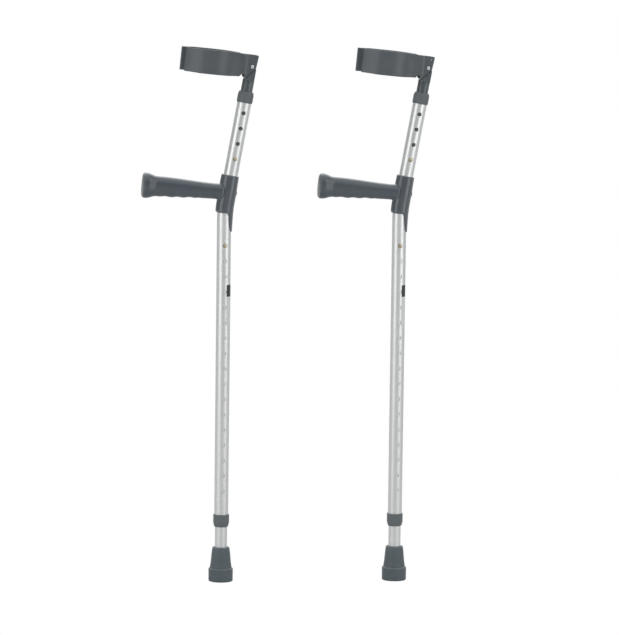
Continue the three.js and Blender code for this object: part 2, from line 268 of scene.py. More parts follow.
def moulded_material(name, colour, worn, grain_size, depth, gloss, worn_gloss, wear=0.5, coat=0.0):
    """A moulded plastic or rubber: its colour drifts a little and lightens on rubbed edges."""
    material, tree, shader = new_material(name, {"Coat Weight": coat, "Coat Roughness": 0.14})
    grain = filled(tree, moulded_grain, {"Grain Size": grain_size, "Drift": 0.07})
    rubbed = filled(tree, edge_wear, {"Amount": wear, "Patch Size": 7.0})
    toned = add(tree, "ShaderNodeMix", {"Factor": 1.0}, data_type="RGBA", blend_type="MULTIPLY")
    toned.inputs["A"].default_value = (*colour, 1)
    paint = add(tree, "ShaderNodeMix", data_type="RGBA")
    paint.inputs["B"].default_value = (*worn, 1)
    finish = add(tree, "ShaderNodeMix", data_type="FLOAT")
    finish.inputs["A"].default_value = gloss
    finish.inputs["B"].default_value = worn_gloss
    bump = add(tree, "ShaderNodeBump", {"Strength": 0.35, "Distance": depth * MM})
    tree.links.new(grain.outputs["Tone"], toned.inputs["B"])
    tree.links.new(toned.outputs["Result"], paint.inputs["A"])
    tree.links.new(rubbed.outputs["Mask"], paint.inputs["Factor"])
    tree.links.new(rubbed.outputs["Mask"], finish.inputs["Factor"])
    tree.links.new(grain.outputs["Height"], bump.inputs["Height"])
    tree.links.new(paint.outputs["Result"], shader.inputs["Base Color"])
    tree.links.new(finish.outputs["Result"], shader.inputs["Roughness"])
    tree.links.new(bump.outputs["Normal"], shader.inputs["Normal"])
    return material


def plain_metal(name, colour, worn, gloss, drift, wear=0.5):
    """A small metal part: its tone and gloss drift a little and its edges are rubbed bright."""
    material, tree, shader = new_material(name, {"Metallic": 1.0})
    grain = filled(tree, moulded_grain, {"Grain Size": 0.4, "Drift": drift})
    rubbed = filled(tree, edge_wear, {"Amount": wear, "Patch Size": 2.0})
    toned = add(tree, "ShaderNodeMix", {"Factor": 1.0}, data_type="RGBA", blend_type="MULTIPLY")
    toned.inputs["A"].default_value = (*colour, 1)
    bright = add(tree, "ShaderNodeMix", data_type="RGBA")
    bright.inputs["B"].default_value = (*worn, 1)
    finish = add(tree, "ShaderNodeMath", {1: gloss}, operation="MULTIPLY")
    bump = add(tree, "ShaderNodeBump", {"Strength": 0.2, "Distance": 0.04 * MM})
    tree.links.new(grain.outputs["Tone"], toned.inputs["B"])
    tree.links.new(toned.outputs["Result"], bright.inputs["A"])
    tree.links.new(rubbed.outputs["Mask"], bright.inputs["Factor"])
    tree.links.new(grain.outputs["Tone"], finish.inputs[0])
    tree.links.new(grain.outputs["Height"], bump.inputs["Height"])
    tree.links.new(bright.outputs["Result"], shader.inputs["Base Color"])
    tree.links.new(finish.outputs[0], shader.inputs["Roughness"])
    tree.links.new(bump.outputs["Normal"], shader.inputs["Normal"])
    return material


def fit_pair(node, name, mesh, material, body):
    """Puts one copy on each crutch, in place of its plain solid."""
    mesh.shade_smooth()
    mesh.set_sharp_from_angle(angle=math.radians(38))
    mark_edges(mesh)
    mesh.materials.append(material)
    for side, foot in feet.items():
        piece = bpy.data.objects.new(f"{side}_{name}", mesh)
        bpy.context.scene.collection.objects.link(piece)
        piece.location = foot
        weighted = piece.modifiers.new("Even shading", "WEIGHTED_NORMAL")
        weighted.keep_sharp = True
        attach(piece, f"{side}_{body}")
        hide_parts(f"{side}_{node}")


FOOT_HEIGHT = 56.0
foot_outline = rounded([
    (0, 0), (5.5, 0, 0.3), (6.1, 1.4, 0.3), (8.4, 1.4, 0.3), (9.0, 0, 0.3), (11.2, 0, 0.3),
    (11.8, 1.4, 0.3), (14.1, 1.4, 0.3), (14.7, 0, 0.3), (19.75, 0, 1.3), (19.9, 20.4, 1.4),
    (17.9, 22.2, 0.6), (17.35, 22.4, 0.3), (17.65, 23.2, 0.5), (16.5, 31.0, 8), (14.9, 48.0, 3),
    (13.8, FOOT_HEIGHT, 2.8), (10.02, FOOT_HEIGHT, 0.8), (10.02, 9.75), (0, 9.75),
])
foot_rubber = moulded_material(
    "foot_rubber", (0.082, 0.104, 0.116), (0.17, 0.18, 0.19),
    grain_size=0.5, depth=0.12, gloss=0.5, worn_gloss=0.7, wear=0.45)
fit_pair("ferrule", "rubber_foot", turned("rubber_foot", foot_outline), foot_rubber, "leg")

rivet_steel = plain_metal("rivet_steel", (0.62, 0.63, 0.64), (0.8, 0.8, 0.8), gloss=0.3, drift=0.15)
disc_outline = rounded([(0, 10), (9.6, 10, 0.3), (9.6, 12, 0.3), (0, 12)])
fit_pair("ferrule_washer", "foot_disc", turned("foot_disc", disc_outline, 64), rivet_steel, "leg")

# ---------------------------------------------------------------------------
# Leg tubes and main tubes. Both are drawn aluminium, anodised a satin silver.
# The leg tube slides in the main tube, which is bent just under the handle
# and drilled down one side with a row of holes for the snap buttons.
# ---------------------------------------------------------------------------

forearm_axis = Vector(joints["left_stem_slide"]["axis"]).normalized()
lean = math.atan2(forearm_axis.x, forearm_axis.z)
pivot = (Vector(joints["left_cuff_tilt"]["pos_m"]) - feet["left"]) / MM
bend_height = pivot.z - pivot.x / math.tan(lean)
BEND_RADIUS = 150.0
bend_setback = BEND_RADIUS * math.tan(lean / 2)
bend_start = bend_height - bend_setback
bend_end = bend_start + BEND_RADIUS * lean

TUBE_RADIUS = 11.4
TUBE_BORE = 10.25
TUBE_LOW = 94.5
FOREARM_LENGTH = 190.0
LEG_RADIUS = 9.95
LEG_BORE = 8.7
LEG_LOW = 12.3
LEG_TOP = 585.0
HOLE_RADIUS = 3.3
HOLE_PITCH = 25.0
LEG_HOLES = [149.2 + HOLE_PITCH * i for i in range(17)]
FOREARM_HOLES = [84.4 + HOLE_PITCH * i for i in range(4)]


def on_line(run):
    """The tube's centre and its across direction at a run from the ground along its line."""
    if run <= bend_start:
        return Vector((0, 0, run)), Vector((1, 0, 0))
    angle = min((run - bend_start) / BEND_RADIUS, lean)
    across = Vector((math.cos(angle), 0, -math.sin(angle)))
    centre = Vector((BEND_RADIUS * (1 - math.cos(angle)), 0, bend_start + BEND_RADIUS * math.sin(angle)))
    beyond = max(run - bend_end, 0.0)
    return centre + beyond * Vector((math.sin(lean), 0, math.cos(lean))), across


def run_of(up_forearm):
    """The run of a place that is a distance up the forearm from the bend's corner."""
    return bend_end + up_forearm - bend_setback


def on_tube(run, x, y):
    """A point beside the centre line: x across the bend, y to the side."""
    centre, across = on_line(run)
    return centre + across * x + Vector((0, y, 0))


def drilled_tube(name, outer, bore, low, high, holes):
    """A tube with round holes in its -Y side, each with a softened rim, and rounded ends."""
    half = 5.6
    rows = 8
    sides = 56
    side_angle = math.asin(half / outer)
    points = []
    faces = []
    straight = []
    made = {}

    def corner(radius, run, x, y):
        key = (round(radius, 3), round(run, 3), round(x, 3), round(y, 3))
        if key not in made:
            made[key] = len(points)
            points.append(on_tube(run, x, y))
            straight.append((x * MM, y * MM, run * MM))
        return made[key]

    def on_wall(radius, run, angle):
        return corner(radius, run, radius * math.sin(angle), -radius * math.cos(angle))

    front = [side_angle * (2 * i / rows - 1) for i in range(rows + 1)]
    around = front + [side_angle + (2 * math.pi - 2 * side_angle) * i / sides for i in range(1, sides)]
    stations = {low + 0.4, high - 0.4}
    for hole in holes:
        stations.update(hole - half + 2 * half * i / rows for i in range(rows + 1))
    bend_rows = 12
    for i in range(bend_rows + 1):
        run = bend_start + (bend_end - bend_start) * i / bend_rows
        if low < run < high:
            stations.add(run)
    stations = sorted(stations)
    drilled = [(hole - half - 0.01, hole + half + 0.01) for hole in holes]

    def is_drilled(one, other):
        return any(one > start and other < end for start, end in drilled)

    for radius in (outer, bore):
        for one, other in zip(stations, stations[1:]):
            first = rows if is_drilled(one, other) else 0
            for i in range(first, len(around)):
                a, b = around[i], around[(i + 1) % len(around)]
                faces.append([on_wall(radius, one, a), on_wall(radius, one, b),
                              on_wall(radius, other, b), on_wall(radius, other, a)])

    def hole_ring(radius, size, hole, share):
        """Points round a hole, from its own circle at share 0 to the square round it at 1."""
        ring = []
        for i in range(4 * rows):
            side, step = divmod(i, rows)
            along = 2 * step / rows - 1
            u, v = [(along, -1), (1, along), (-along, 1), (-1, -along)][side]
            turn = math.atan2(v, u)
            square_x = radius * math.sin(side_angle * u)
            x = size * math.cos(turn) * (1 - share) + square_x * share
            z = size * math.sin(turn) * (1 - share) + half * v * share
            ring.append(corner(radius, hole + z, x, -math.sqrt(radius * radius - x * x)))
        return ring

    def bridge(one, other):
        for i in range(len(one)):
            j = (i + 1) % len(one)
            faces.append([one[i], one[j], other[j], other[i]])

    rim = 0.35
    for hole in holes:
        rings = [hole_ring(outer, HOLE_RADIUS + rim, hole, share) for share in (1, 0.55, 0.2, 0)]
        rings.append(hole_ring(outer - 0.1, HOLE_RADIUS + 0.1, hole, 0))
        rings.append(hole_ring(outer - rim, HOLE_RADIUS, hole, 0))
        rings += [hole_ring(bore, HOLE_RADIUS, hole, share) for share in (0, 0.3, 1)]
        for one, other in zip(rings, rings[1:]):
            bridge(one, other)

    for wall, end, inward in ((1, low, 1), (-1, high, -1)):
        soft_outer = [on_wall(outer, end + 0.4 * inward, angle) for angle in around]
        outer_edge = [on_wall(outer - 0.3, end, angle) for angle in around]
        bore_edge = [on_wall(bore + 0.3, end, angle) for angle in around]
        soft_bore = [on_wall(bore, end + 0.4 * inward, angle) for angle in around]
        bridge(soft_outer, outer_edge)
        bridge(outer_edge, bore_edge)
        bridge(bore_edge, soft_bore)

    mesh = bpy.data.meshes.new(name)
    mesh.from_pydata([point * MM for point in points], [], faces)
    layer = mesh.attributes.new("straight", "FLOAT_VECTOR", "POINT")
    layer.data.foreach_set("vector", [number for place in straight for number in place])
    shape = bmesh.new()
    shape.from_mesh(mesh)
    bmesh.ops.recalc_face_normals(shape, faces=shape.faces)
    shape.to_mesh(mesh)
    shape.free()
    return mesh


def make_drawn_metal():
    """Faint lines along a drawn tube, and slow smudges in its gloss."""
    tree, given, out = node_group(
        "Drawn Metal",
        [("Line Width", NUMBER, 0.25), ("Smudges", NUMBER, 0.08)],
        [("Lines", NUMBER), ("Gloss", NUMBER), ("Tone", NUMBER)],
    )
    place = add(tree, "ShaderNodeAttribute", attribute_name="straight")
    fineness = add(tree, "ShaderNodeMath", {0: 1000.0}, operation="DIVIDE")
    spread = add(tree, "ShaderNodeCombineXYZ", {"Z": 9.0})
    stretched = add(tree, "ShaderNodeVectorMath", operation="MULTIPLY")
    lines = add(tree, "ShaderNodeTexNoise", {"Scale": 1.0, "Detail": 3.0})
    slow = add(tree, "ShaderNodeTexNoise", {"Scale": 14.0, "Detail": 4.0, "Roughness": 0.6})
    gloss = add(tree, "ShaderNodeMapRange", {"From Min": 0.3, "From Max": 0.7, "To Min": 0.0})
    tone_range = {"From Min": 0.25, "From Max": 0.75, "To Min": 0.94, "To Max": 1.04}
    tone = add(tree, "ShaderNodeMapRange", tone_range)
    tree.links.new(given.outputs["Line Width"], fineness.inputs[1])
    tree.links.new(fineness.outputs[0], spread.inputs["X"])
    tree.links.new(fineness.outputs[0], spread.inputs["Y"])
    tree.links.new(place.outputs["Vector"], stretched.inputs[0])
    tree.links.new(spread.outputs["Vector"], stretched.inputs[1])
    tree.links.new(stretched.outputs["Vector"], lines.inputs["Vector"])
    tree.links.new(place.outputs["Vector"], slow.inputs["Vector"])
    tree.links.new(slow.outputs["Fac"], gloss.inputs["Value"])
    tree.links.new(given.outputs["Smudges"], gloss.inputs["To Max"])
    tree.links.new(lines.outputs["Fac"], tone.inputs["Value"])
    tree.links.new(lines.outputs["Fac"], out.inputs["Lines"])
    tree.links.new(gloss.outputs["Result"], out.inputs["Gloss"])
    tree.links.new(tone.outputs["Result"], out.inputs["Tone"])
    return tree


drawn_metal = make_drawn_metal()


def anodised(name, colour, gloss):
    """Satin anodised aluminium, drawn along its length."""
    material, tree, shader = new_material(name, {"Metallic": 1.0})
    drawn = filled(tree, drawn_metal, {"Line Width": 0.22, "Smudges": 0.07})
    rubbed = filled(tree, edge_wear, {"Amount": 0.6, "Patch Size": 5.0})
    toned = add(tree, "ShaderNodeMix", {"Factor": 1.0}, data_type="RGBA", blend_type="MULTIPLY")
    toned.inputs["A"].default_value = (*colour, 1)
    bare = add(tree, "ShaderNodeMix", data_type="RGBA")
    bare.inputs["B"].default_value = (0.85, 0.85, 0.85, 1)
    rough = add(tree, "ShaderNodeMath", {1: gloss}, operation="ADD")
    bump = add(tree, "ShaderNodeBump", {"Strength": 0.12, "Distance": 0.02 * MM})
    tree.links.new(drawn.outputs["Tone"], toned.inputs["B"])
    tree.links.new(toned.outputs["Result"], bare.inputs["A"])
    tree.links.new(rubbed.outputs["Mask"], bare.inputs["Factor"])
    tree.links.new(drawn.outputs["Gloss"], rough.inputs[0])
    tree.links.new(drawn.outputs["Lines"], bump.inputs["Height"])
    tree.links.new(bare.outputs["Result"], shader.inputs["Base Color"])
    tree.links.new(rough.outputs[0], shader.inputs["Roughness"])
    tree.links.new(bump.outputs["Normal"], shader.inputs["Normal"])
    return material


satin_aluminium = anodised("satin_aluminium", (0.78, 0.79, 0.79), gloss=0.36)
leg_tube = drilled_tube("telescoping_tube", LEG_RADIUS, LEG_BORE, LEG_LOW, LEG_TOP, LEG_HOLES[-1:])
fit_pair("leg_tube", "telescoping_tube", leg_tube, satin_aluminium, "leg")
main_holes = LEG_HOLES + [run_of(height) for height in FOREARM_HOLES]
main_tube = drilled_tube("bent_tube", TUBE_RADIUS, TUBE_BORE, TUBE_LOW, run_of(FOREARM_LENGTH), main_holes)
fit_pair("main_tube", "bent_tube", main_tube, satin_aluminium, "crutch")

# ---------------------------------------------------------------------------
# Collars. Two moulded grey bushes close the ends of the main tube and take up
# the play of what slides in it: the leg tube below, the cuff's stem above.
# ---------------------------------------------------------------------------

forearm_frame = Matrix.Translation(Vector((0, 0, bend_height)) * MM) @ Matrix.Rotation(lean, 4, "Y")
collar_plastic = moulded_material(
    "collar_plastic", (0.112, 0.128, 0.138), (0.17, 0.18, 0.19),
    grain_size=0.3, depth=0.06, gloss=0.5, worn_gloss=0.6)
lower_bush = turned("lower_bush", rounded([
    (10.02, 89.5, 0.3), (10.9, 89.5, 0.5), (12.35, 93.8, 2.5), (12.95, 97.0, 2.5), (12.95, 110, 0.6),
    (11.44, 110, 0.2), (11.44, 94.2), (10.02, 94.2),
]))
fit_pair("lower_collar", "lower_bush", lower_bush, collar_plastic, "crutch")
upper_bush = turned("upper_bush", rounded([
    (11.44, 176, 0.2), (12.3, 176, 0.5), (12.8, 179.0, 2.5), (12.8, 189.0, 2.0), (11.6, 194.0, 1.2),
    (10.4, 194.6, 0.3), (9.6, 194.6, 0.2), (9.6, 190.3), (11.44, 190.3),
]))
upper_bush.transform(forearm_frame)
fit_pair("upper_collar", "upper_bush", upper_bush, collar_plastic, "crutch")

# ---------------------------------------------------------------------------
# Handle moulding. A rigid grey sleeve wraps the tube round its bend, with a
# tongue down the back of the leg, and carries a core bar for the grip. A flush
# blind rivet through its back holds it to the tube.
# ---------------------------------------------------------------------------

SLEEVE_BOTTOM = 601.5
TONGUE_DROP = 30.5
TONGUE_HALF_ANGLE = math.radians(57)
sleeve_top = run_of(57.5)
grip_root = Vector((5.3, 0, 634.8))
GRIP_RISE = math.radians(4.9)
grip_along = Vector((-math.cos(GRIP_RISE), 0, math.sin(GRIP_RISE)))
grip_up = Vector((math.sin(GRIP_RISE), 0, math.cos(GRIP_RISE)))


def sleeve_edge(angle):
    """The run of the sleeve's lower edge: level at the front, with a rounded tongue behind."""
    away = abs(angle)
    if away < TONGUE_HALF_ANGLE:
        drop = TONGUE_DROP * (1 - (away / TONGUE_HALF_ANGLE) ** 5) ** 0.5
        return SLEEVE_BOTTOM - max(drop, 5.0)
    return SLEEVE_BOTTOM - 5.0 * (1 - smoothstep(0, math.radians(20), away - TONGUE_HALF_ANGLE)) ** 1.5


def sleeve_radius(run, angle):
    """Fuller in the middle, thin at the end of the tongue, and drawn forward to the grip."""
    if run < 604:
        body = 12.6 + 1.9 * smoothstep(560, 606, run)
    else:
        body = 14.6 - 0.8 * smoothstep(630, sleeve_top, run)
    forward = max(-math.cos(angle), 0.0) ** 3
    return body + forward * (0.2 + 1.0 * smoothstep(625, 655, run))


def sleeve_mesh():
    """The sleeve: a wall that follows the tube, with rounded rims and a bore that fits it."""
    columns = 120
    angles = [2 * math.pi * i / columns - math.pi for i in range(columns)]
    rows = 44
    round_steps = 4
    top_round = 1.6
    bottom_round = 1.5
    points = []
    for angle in angles:
        bottom = sleeve_edge(angle)
        front = max(-math.cos(angle), 0.0)
        edge = bottom_round + 2.6 * front ** 2
        if abs(angle) < TONGUE_HALF_ANGLE:
            edge = 0.8
        line = [(bottom, TUBE_RADIUS + 0.04)]
        for step in range(round_steps + 1):
            turn = math.pi / 2 * step / round_steps
            run = bottom + edge * (1 - math.cos(turn))
            line.append((run, sleeve_radius(run, angle) - edge * (1 - math.sin(turn)) * 0.8))
        for row in range(1, rows):
            run = bottom + edge + (sleeve_top - top_round - bottom - edge) * row / rows
            line.append((run, sleeve_radius(run, angle)))
        for step in range(round_steps + 1):
            turn = math.pi / 2 * step / round_steps
            run = sleeve_top - top_round * (1 - math.sin(turn))
            line.append((run, sleeve_radius(run, angle) - top_round * (1 - math.cos(turn))))
        line.append((sleeve_top, TUBE_RADIUS + 0.04))
        for run, radius in line:
            points.append(on_tube(run, radius * math.cos(angle), radius * math.sin(angle)))
    count = len(points) // columns
    faces = []
    for i in range(columns):
        j = (i + 1) % columns
        for row in range(count):
            after = (row + 1) % count
            faces.append([i * count + row, j * count + row, j * count + after, i * count + after])
    return solid_mesh("handle_sleeve", points, faces)


def along_grip(name, outline, sides=64):
    """A solid of revolution about the grip's axis, its height measured from the tube."""
    mesh = turned(name, outline, sides)
    turn = grip_along.to_track_quat("Z", "Y").to_matrix().to_4x4()
    mesh.transform(Matrix.Translation(grip_root * MM) @ turn)
    return mesh


def combined(name, meshes, operation="UNION"):
    """The first mesh joined with, or cut by, the others."""
    scene = bpy.context.scene.collection.objects
    base = bpy.data.objects.new(name, meshes[0])
    scene.link(base)
    tools = []
    for other in meshes[1:]:
        tool = bpy.data.objects.new(name + "_tool", other)
        scene.link(tool)
        step = base.modifiers.new("step", "BOOLEAN")
        step.operation = operation
        step.solver = "EXACT"
        step.object = tool
        tools.append(tool)
    bpy.context.view_layer.update()
    shaped = base.evaluated_get(bpy.context.evaluated_depsgraph_get())
    mesh = bpy.data.meshes.new_from_object(shaped)
    for spent in [base, *tools]:
        bpy.data.objects.remove(spent)
    mesh.name = name
    return mesh


core_bar = along_grip("core_bar", rounded([
    (0, 12.9), (7.3, 12.9), (7.0, 60), (6.4, 124, 1.5), (0, 124),
]), 48)
handle_moulding = combined("handle_moulding", [sleeve_mesh(), core_bar])
handle_plastic = moulded_material(
    "handle_plastic", (0.066, 0.080, 0.093), (0.12, 0.13, 0.14),
    grain_size=0.3, depth=0.06, gloss=0.22, worn_gloss=0.35, coat=0.6)
fit_pair("handle_core", "handle_moulding", handle_moulding, handle_plastic, "crutch")

rivet_turn = Matrix.Rotation(math.pi / 2, 4, "Y")
back_rivet = turned("back_rivet", rounded([
    (0, 7.6), (3.0, 7.6, 0.4), (3.6, 8.6, 0.4), (3.0, 9.2), (2.4, 9.3), (2.4, 13.7), (4.2, 14.55, 0.15),
    (4.1, 14.8, 0.15), (2.2, 15.05, 0.6), (1.5, 14.6, 0.3), (0, 14.6),
]), 48)
back_rivet.transform(forearm_frame @ Matrix.Translation((0, 0, 30 * MM)) @ rivet_turn)
fit_pair("handle_rivet", "back_rivet", back_rivet, rivet_steel, "crutch")

# ---------------------------------------------------------------------------
# Hand grips. A softer vinyl cover fits over the core bar and seats against the
# sleeve. It swells towards a flared end, and has finger hollows underneath.
# ---------------------------------------------------------------------------

GRIP_LENGTH = 138.6
SEAT_RADIUS = 14.75


def grip_reach(y, up):
    """How far along the grip the sleeve's surface lies, for a line at y and up from its axis."""
    axis = Vector((math.sin(lean), 0, math.cos(lean)))
    side = Vector((0, y, 0)) + grip_up * up
    side -= axis * side.dot(axis)
    step = grip_along - axis * grip_along.dot(axis)
    a = step.dot(step)
    b = 2 * side.dot(step)
    c = side.dot(side) - SEAT_RADIUS ** 2
    inside = max(b * b - 4 * a * c, 0.0)
    return (-b + math.sqrt(inside)) / (2 * a)


def grip_sizes(along):
    """Half height and half width of the grip at a distance from the tube."""
    swell = smoothstep(20, 108, along)
    flare = smoothstep(116, 133, along)
    height = 12.5 + 3.7 * swell + 4.1 * flare
    width = 12.4 + 1.2 * swell + 3.4 * flare
    return height, width


def finger_hollow(along):
    """The depth of the finger hollows under the middle of the grip."""
    inside = smoothstep(40, 52, along) * (1 - smoothstep(108, 118, along))
    return 1.1 * inside * (0.5 - 0.5 * math.cos(2 * math.pi * (along - 52.0) / 19.6))


def superellipse(angle, half_width, half_height, power):
    """A point on a rounded box of a section, an ellipse at power 2 and squarer above it."""
    c, s = math.cos(angle), math.sin(angle)
    return (half_width * math.copysign(abs(c) ** (2 / power), c),
            half_height * math.copysign(abs(s) ** (2 / power), s))


def grip_mesh():
    """The cover: rings from the sleeve to the flared end, then back along its bore."""
    columns = 72
    rows = 90
    root_flare = 2.2
    end_round = 3.6
    round_steps = 7
    bar_gap = 0.1
    angles = [2 * math.pi * i / columns for i in range(columns)]
    rings = []

    def cover_at(angle, along, inset=0.0):
        height, width = grip_sizes(min(along, GRIP_LENGTH))
        y, up = superellipse(angle, width - inset, height - inset, 2.7)
        up += finger_hollow(along) * max(-math.sin(angle), 0.0) ** 2
        return y, up

    def place(along, y, up):
        return grip_root + grip_along * along + Vector((0, y, 0)) + grip_up * up

    for row in range(rows + 1):
        share = (row / rows) ** 1.15
        ring = []
        for angle in angles:
            root = grip_reach(*cover_at(angle, 16))
            along = root + (GRIP_LENGTH - end_round - root) * share
            y, up = cover_at(angle, along)
            near = max(1 - (along - root) / root_flare, 0.0)
            spread = 1 + 0.12 * near * near
            ring.append(place(along, y * spread, up * spread))
        rings.append(ring)
    for step in range(1, round_steps + 1):
        turn = math.pi / 2 * step / round_steps
        along = GRIP_LENGTH - end_round * (1 - math.sin(turn))
        inset = end_round * (1 - math.cos(turn))
        ring = []
        for angle in angles:
            y, up = cover_at(angle, GRIP_LENGTH, inset)
            ring.append(place(along, y, up))
        rings.append(ring)
    for scale, bulge in ((0.75, 0.5), (0.45, 0.9), (0.15, 1.1)):
        ring = []
        for angle in angles:
            y, up = cover_at(angle, GRIP_LENGTH, end_round)
            ring.append(place(GRIP_LENGTH + bulge, y * scale, up * scale))
        rings.append(ring)
    for along, radius in ((125.0, 1.0), (125.0, 6.5), (60.0, 7.0 + bar_gap), (17.0, 7.3 + bar_gap)):
        rings.append([place(along, radius * math.cos(a), radius * math.sin(a)) for a in angles])
    points = [point for one in rings for point in one]
    faces = []
    outer_rings = rows + 1 + round_steps + 3
    for row in [*range(outer_rings - 1), *range(outer_rings, len(rings) - 1)]:
        for i in range(columns):
            j = (i + 1) % columns
            after = (row + 1) * columns
            faces.append([row * columns + i, row * columns + j, after + j, after + i])
    last = len(rings) - 1
    for i in range(columns):
        j = (i + 1) % columns
        faces.append([i, j, last * columns + j, last * columns + i])
    faces.append([(outer_rings - 1) * columns + i for i in range(columns)])
    faces.append([outer_rings * columns + i for i in range(columns)])
    return solid_mesh("vinyl_grip", points, faces)


grip_vinyl = moulded_material(
    "grip_vinyl", (0.056, 0.072, 0.086), (0.11, 0.12, 0.13),
    grain_size=0.45, depth=0.08, gloss=0.33, worn_gloss=0.28, wear=0.4, coat=0.4)
fit_pair("hand_grip", "vinyl_grip", grip_mesh(), grip_vinyl, "crutch")

# ---------------------------------------------------------------------------
# Care labels. A blank pale film, wrapped on the back of each leg, with a dark
# bar across its top and no lettering.
# ---------------------------------------------------------------------------

LABEL_LOW = 418.0
LABEL_HIGH = 485.5
BAR_HEIGHT = 19.0
FILM_THICK = 0.12


def label_mesh():
    columns = 48
    half_angle = math.radians(72)
    outline = rounded([
        (-half_angle * TUBE_RADIUS, LABEL_LOW, 1.5), (half_angle * TUBE_RADIUS, LABEL_LOW, 1.5),
        (half_angle * TUBE_RADIUS, LABEL_HIGH, 1.5), (-half_angle * TUBE_RADIUS, LABEL_HIGH, 1.5),
    ])
    film = bmesh.new()
    rim = [film.verts.new((place.x, place.y, 0)) for place in outline]
    film.faces.new(rim)
    for i in range(1, columns):
        across = half_angle * TUBE_RADIUS * (2 * i / columns - 1)
        geometry = [*film.verts, *film.edges, *film.faces]
        bmesh.ops.bisect_plane(film, geom=geometry, plane_co=(across, 0, 0), plane_no=(1, 0, 0))
    sheet = bmesh.ops.extrude_face_region(film, geom=film.faces[:])
    for corner in sheet["geom"]:
        if isinstance(corner, bmesh.types.BMVert):
            corner.co.z = FILM_THICK
    for corner in film.verts:
        angle = corner.co.x / TUBE_RADIUS
        radius = TUBE_RADIUS + 0.03 + corner.co.z
        corner.co = Vector((radius * math.cos(angle), radius * math.sin(angle), corner.co.y)) * MM
    bmesh.ops.recalc_face_normals(film, faces=film.faces)
    mesh = bpy.data.meshes.new("blank_label")
    film.to_mesh(mesh)
    film.free()
    return mesh


label_coat = {"Coat Weight": 0.3, "Coat Roughness": 0.2}
label_film, label_tree, label_shader = new_material("label_film", label_coat)
label_place = add(label_tree, "ShaderNodeTexCoord")
label_height = add(label_tree, "ShaderNodeSeparateXYZ")
label_bar = add(label_tree, "ShaderNodeMath", {1: (LABEL_HIGH - BAR_HEIGHT) * MM}, operation="GREATER_THAN")
label_colour = add(label_tree, "ShaderNodeMix", data_type="RGBA")
label_colour.inputs["A"].default_value = (0.62, 0.63, 0.63, 1)
label_colour.inputs["B"].default_value = (0.02, 0.022, 0.028, 1)
label_grain = filled(label_tree, moulded_grain, {"Grain Size": 2.0, "Drift": 0.12})
label_gloss = add(label_tree, "ShaderNodeMath", {1: 0.42}, operation="MULTIPLY")
label_bump = add(label_tree, "ShaderNodeBump", {"Strength": 0.3, "Distance": 0.05 * MM})
label_tree.links.new(label_place.outputs["Object"], label_height.inputs["Vector"])
label_tree.links.new(label_height.outputs["Z"], label_bar.inputs[0])
label_tree.links.new(label_bar.outputs[0], label_colour.inputs["Factor"])
label_tree.links.new(label_colour.outputs["Result"], label_shader.inputs["Base Color"])
label_tree.links.new(label_grain.outputs["Tone"], label_gloss.inputs[0])
label_tree.links.new(label_gloss.outputs[0], label_shader.inputs["Roughness"])
label_tree.links.new(label_grain.outputs["Height"], label_bump.inputs["Height"])
label_tree.links.new(label_bump.outputs["Normal"], label_shader.inputs["Normal"])
fit_pair("care_label", "blank_label", label_mesh(), label_film, "crutch")

# ---------------------------------------------------------------------------
# Cuff stems. A grey plastic plug slides in the forearm tube. Above a step it
# becomes a block, whose sloping shoulder the cuff rests on, and a rounded
# tongue between the cuff's ears that carries the rivet.
# ---------------------------------------------------------------------------

pivot_height = pivot.x / math.sin(lean)
STEM_RADIUS = 9.5
STEM_STEP = 211.6
HEAD_HALF_WIDTH = 7.3
HEAD_HALF_DEPTH = 12.2
STOP_SLOPE = math.radians(52.5)
STOP_DISTANCE = 6.05


def plate(name, outline, low_y, high_y, bevel):
    """A flat plate with an outline in the XZ plane and softened edges."""
    shape = bmesh.new()
    face = shape.faces.new([shape.verts.new((x * MM, low_y * MM, z * MM)) for x, z in outline])
    pushed = bmesh.ops.extrude_face_region(shape, geom=[face])
    for corner in pushed["geom"]:
        if isinstance(corner, bmesh.types.BMVert):
            corner.co.y = high_y * MM
    bmesh.ops.recalc_face_normals(shape, faces=shape.faces)
    edges = [edge for edge in shape.edges if edge.calc_face_angle(0) > math.radians(60)]
    bmesh.ops.bevel(shape, geom=edges, offset=bevel * MM, segments=3, profile=0.5, affect="EDGES")
    mesh = bpy.data.meshes.new(name)
    shape.to_mesh(mesh)
    shape.free()
    return mesh


def pin_cutter(radius, x=0.0, z=0.0, low=-20.0, high=20.0):
    """A round cutter along Y."""
    outline = [(0, low), (radius, low), (radius, high), (0, high)]
    mesh = turned("cutter", outline, 40)
    mesh.transform(Matrix.Translation((x * MM, 0, z * MM)) @ Matrix.Rotation(-math.pi / 2, 4, "X"))
    return mesh


